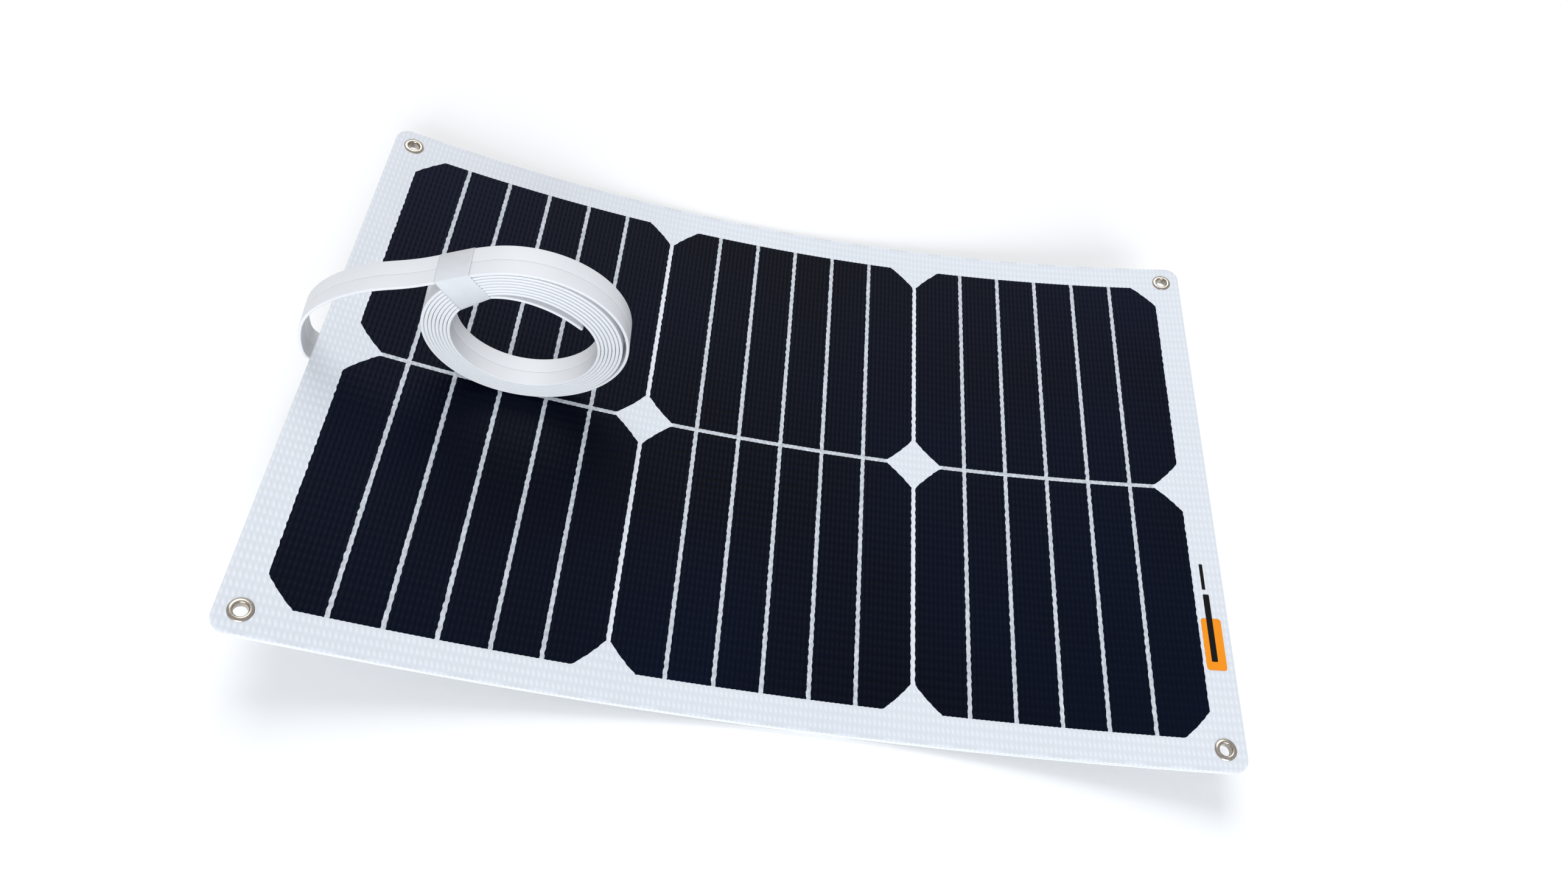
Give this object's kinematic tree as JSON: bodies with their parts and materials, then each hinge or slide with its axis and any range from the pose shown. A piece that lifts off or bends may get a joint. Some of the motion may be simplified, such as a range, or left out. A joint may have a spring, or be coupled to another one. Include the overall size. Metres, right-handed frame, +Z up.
{
  "type": "flexible solar sheet",
  "caption": "Thin curved solar laminate with dark diced cells, white border, corner eyelets, rear junction box and a flat twin cable coiled on it.",
  "frame": {"origin": "below the middle of the sheet, on the surface it rests on", "axes": "+X along the long side away from the cable, +Y along the short side, +Z up out of the cell face"},
  "size_m": [0.4386, 0.2804, 0.1022],
  "materials": {
    "solar_cell": "dark blue-black silicon",
    "copper": "bare copper",
    "tinned_copper": "tinned, satin",
    "back_film": "white film, satin",
    "rear_board": "glass-fibre board",
    "white_encapsulant": "white, soft",
    "front_encapsulant": "clear to milky",
    "front_film": "embossed film over white and dark cells",
    "label_orange": "printed, plain",
    "eyelet_metal": "nickel-plated steel",
    "adhesive": "bonding pad",
    "box_plastic": "fine moulded grain",
    "gland_rubber": "soft white rubber",
    "diode_body": "moulded epoxy",
    "cable_jacket": "smooth white PVC",
    "clear_tape": "clear, glossy"
  },
  "bodies": {
    "root": {"cell_strip_01": "solar_cell", "cell_strip_02": "solar_cell", "cell_strip_03": "solar_cell", "cell_strip_04": "solar_cell", "cell_strip_05": "solar_cell", "cell_strip_06": "solar_cell", "cell_strip_07": "solar_cell", "cell_strip_08": "solar_cell", "cell_strip_09": "solar_cell", "cell_strip_10": "solar_cell", "cell_strip_11": "solar_cell", "cell_strip_12": "solar_cell", "cell_strip_13": "solar_cell", "cell_strip_14": "solar_cell", "cell_strip_15": "solar_cell", "cell_strip_16": "solar_cell", "cell_strip_17": "solar_cell", "cell_strip_18": "solar_cell", "cell_strip_19": "solar_cell", "cell_strip_20": "solar_cell", "cell_strip_21": "solar_cell", "cell_strip_22": "solar_cell", "cell_strip_23": "solar_cell", "cell_strip_24": "solar_cell", "cell_strip_25": "solar_cell", "cell_strip_26": "solar_cell", "cell_strip_27": "solar_cell", "cell_strip_28": "solar_cell", "cell_strip_29": "solar_cell", "cell_strip_30": "solar_cell", "cell_strip_31": "solar_cell", "cell_strip_32": "solar_cell", "cell_strip_33": "solar_cell", "cell_strip_34": "solar_cell", "cell_strip_35": "solar_cell", "cell_strip_36": "solar_cell", "cell_links": "copper", "bus_ribbons": "tinned_copper", "back_sheet": "back_film", "rear_board": "rear_board", "rear_encapsulant": "white_encapsulant", "encapsulant_round_links": "white_encapsulant", "encapsulant_between_cells": "white_encapsulant", "front_encapsulant": "front_encapsulant", "front_sheet": "front_film", "rating_label": "label_orange", "eyelets": "eyelet_metal", "eyelet_washers": "eyelet_metal", "junction_adhesive": "adhesive", "junction_case": "box_plastic", "junction_lid": "box_plastic", "cable_gland": "gland_rubber", "terminals": "tinned_copper", "bypass_diode": "diode_body", "cable_conductors": "copper", "cable_tail_front": "cable_jacket", "cable_tail_rear": "cable_jacket", "cable_coil_front": "cable_jacket", "cable_coil_rear": "cable_jacket", "coil_tape": "clear_tape"}
  },
  "joints": []
}
